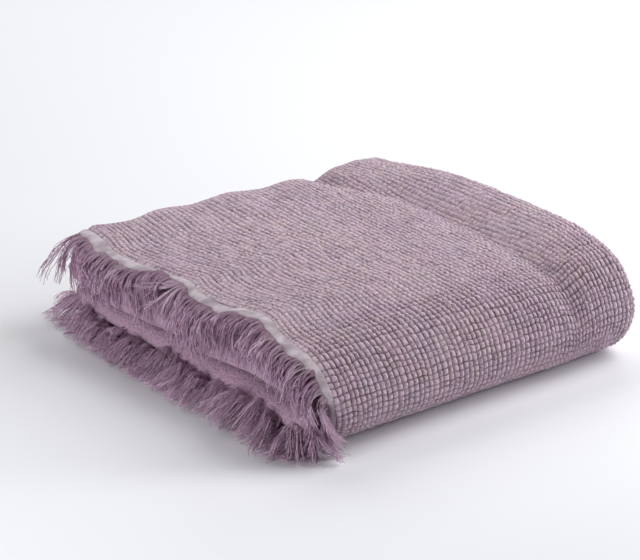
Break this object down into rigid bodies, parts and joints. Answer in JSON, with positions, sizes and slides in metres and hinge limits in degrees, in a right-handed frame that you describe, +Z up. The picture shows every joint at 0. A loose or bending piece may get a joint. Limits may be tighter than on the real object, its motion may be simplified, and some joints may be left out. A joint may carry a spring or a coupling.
{
  "type": "bed blanket",
  "caption": "Crinkled cotton throw for a bed, folded into a soft flat pack with a rounded front, its fringed end hanging over the inner folds.",
  "frame": {"origin": "centre of the footprint, on the surface that the blanket lies on", "axes": "+Z up, -Y towards the rounded front fold, -X towards the fringed end"},
  "size_m": [0.514, 0.5092, 0.1273],
  "materials": {
    "cloth": "puffed crinkle weave, matt, dusty lilac",
    "fringe": "loose cotton yarn, mauve, with a pale heading"
  },
  "bodies": {
    "root": {"blanket_cloth": "cloth", "fringe_open_end": "fringe", "fringe_tucked_end": "fringe"}
  },
  "joints": []
}
